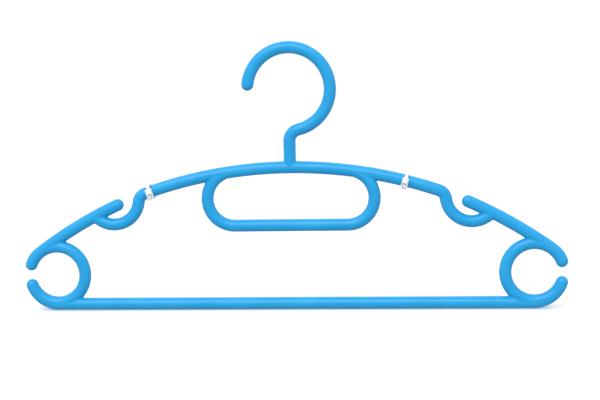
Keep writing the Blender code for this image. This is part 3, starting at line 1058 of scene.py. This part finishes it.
def tie_nylon():
    """Natural white nylon: light passes into it, and it has a fine matt skin and faint flow clouds."""
    n = Nodes("tie_nylon")
    cloud = n.ramp(n.noise(420.0, 4.0, 0.6), 0.35, 0.70)
    colour = n.blend(cloud, (0.93, 0.93, 0.92, 1.0), (0.96, 0.96, 0.955, 1.0))
    grime = n.ramp(n.noise(1500.0, 3.0, 0.6), 0.60, 0.80, 0.0, 0.25)
    colour = n.blend(grime, colour, (0.84, 0.85, 0.84, 1.0))
    n.feed(n.shader.inputs["Base Color"], colour)
    n.feed(n.shader.inputs["Roughness"], n.ramp(n.noise(700.0, 3.0, 0.6), 0.3, 0.7, 0.38, 0.50))
    n.feed(n.shader.inputs["Normal"], n.bump(n.noise(5200.0, 3.0, 0.6), 0.15, 0.00004))
    n.shader.inputs["Subsurface Weight"].default_value = 0.85
    n.shader.inputs["Subsurface Radius"].default_value = (1.0, 0.95, 0.85)
    n.shader.inputs["Subsurface Scale"].default_value = 0.0015
    n.shader.inputs["IOR"].default_value = 1.53
    return n.material


def studio_white():
    """The pale ground: a faintly glowing light table with a barely visible grain."""
    n = Nodes("studio_white")
    grain = n.ramp(n.noise(900.0, 3.0, 0.6), 0.3, 0.7)
    colour = n.blend(grain, (0.90, 0.90, 0.90, 1.0), (0.93, 0.93, 0.93, 1.0))
    n.feed(n.shader.inputs["Base Color"], colour)
    n.shader.inputs["Roughness"].default_value = 0.9
    n.shader.inputs["Specular IOR Level"].default_value = 0.1
    n.shader.inputs["Emission Color"].default_value = (1.0, 1.0, 1.0, 1.0)
    n.shader.inputs["Emission Strength"].default_value = TABLE_GLOW
    return n.material


# ---------------------------------------------------------------- stage, light and camera
def build_floor():
    """The ground under the hanger. It sends no light back onto the hanger."""
    mesh = bmesh.new()
    bmesh.ops.create_grid(mesh, x_segments=1, y_segments=1, size=0.5 * FLOOR_SIZE)
    data = bpy.data.meshes.new("floor")
    mesh.to_mesh(data)
    mesh.free()
    data.materials.append(studio_white())
    floor = bpy.data.objects.new("floor", data)
    floor.location.z = FLOOR_Z
    floor.visible_diffuse = False
    floor.visible_glossy = False
    bpy.context.scene.collection.objects.link(floor)


def build_world():
    """Pure white to the camera. As light it is a soft white that fades towards the ground."""
    world = bpy.data.worlds.new("studio")
    world.use_nodes = True
    tree = world.node_tree
    tree.nodes.clear()
    output = tree.nodes.new("ShaderNodeOutputWorld")
    seen = tree.nodes.new("ShaderNodeBackground")
    seen.inputs["Strength"].default_value = SKY_SEEN
    fill = tree.nodes.new("ShaderNodeBackground")
    for shade in (seen, fill):
        shade.inputs["Color"].default_value = (1.0, 1.0, 1.0, 1.0)
    place = tree.nodes.new("ShaderNodeTexCoord")
    axes = tree.nodes.new("ShaderNodeSeparateXYZ")
    height = tree.nodes.new("ShaderNodeMapRange")
    height.inputs["From Min"].default_value = -1.0
    height.inputs["To Min"].default_value = SKY_BOTTOM
    height.inputs["To Max"].default_value = SKY_TOP
    path = tree.nodes.new("ShaderNodeLightPath")
    mix = tree.nodes.new("ShaderNodeMixShader")
    tree.links.new(place.outputs["Generated"], axes.inputs[0])
    tree.links.new(axes.outputs["Z"], height.inputs["Value"])
    tree.links.new(height.outputs["Result"], fill.inputs["Strength"])
    tree.links.new(path.outputs["Is Camera Ray"], mix.inputs["Fac"])
    tree.links.new(fill.outputs[0], mix.inputs[1])
    tree.links.new(seen.outputs[0], mix.inputs[2])
    tree.links.new(mix.outputs[0], output.inputs["Surface"])
    bpy.context.scene.world = world


def add_sun():
    """A very wide sun: even light over the whole ground, and soft shadows."""
    light = bpy.data.lights.new("soft_sun", "SUN")
    light.energy = SUN_POWER
    light.angle = SUN_WIDTH
    lamp = bpy.data.objects.new("soft_sun", light)
    lamp.rotation_mode = "QUATERNION"
    lamp.rotation_quaternion = Vector(SUN_FROM).to_track_quat("Z", "Y")
    bpy.context.scene.collection.objects.link(lamp)


def add_softbox():
    """A long narrow softbox above the front, which draws the thin highlight along the rods."""
    light = bpy.data.lights.new("top_softbox", "AREA")
    light.shape = "RECTANGLE"
    light.size, light.size_y = SOFTBOX_SIZE
    light.energy = SOFTBOX_POWER
    lamp = bpy.data.objects.new("top_softbox", light)
    lamp.location = SOFTBOX_PLACE
    lamp.rotation_mode = "QUATERNION"
    aim = Vector(SOFTBOX_TARGET) - Vector(SOFTBOX_PLACE)
    lamp.rotation_quaternion = aim.to_track_quat("-Z", "Y")
    bpy.context.scene.collection.objects.link(lamp)


def build_camera():
    """The camera at the photograph's angle, turned by a yaw, then a pitch, then a roll about the view."""
    yaw = Matrix.Rotation(CAMERA_YAW, 3, "Z")
    pitch = Matrix.Rotation(CAMERA_PITCH, 3, "X")
    roll = Matrix.Rotation(CAMERA_ROLL, 3, "Y").transposed()
    turn = roll @ pitch @ yaw
    right, ahead, up = turn[0].copy(), turn[1].copy(), turn[2].copy()
    place = CAMERA_TARGET - turn.transposed() @ CAMERA_OFFSET
    basis = Matrix((right, up, -ahead)).transposed().to_4x4()
    data = bpy.data.cameras.new("camera")
    data.lens = CAMERA_LENS
    camera = bpy.data.objects.new("camera", data)
    camera.matrix_world = Matrix.Translation(place) @ basis
    bpy.context.scene.collection.objects.link(camera)
    bpy.context.scene.camera = camera


def main():
    build_camera()
    build_floor()
    build_world()
    add_sun()
    add_softbox()
    bpy.context.scene.view_settings.view_transform = "Standard"
    blue = hanger_plastic()
    nylon = tie_nylon()
    build_hook(blue)
    build_shoulder_bar(blue)
    build_accessory_loop(blue)
    build_trouser_bar(blue)
    build_strap_notches(blue)
    build_arms(blue)
    build_end_rings(blue)
    for label in ("left", "right"):
        build_tie(label, nylon)


main()
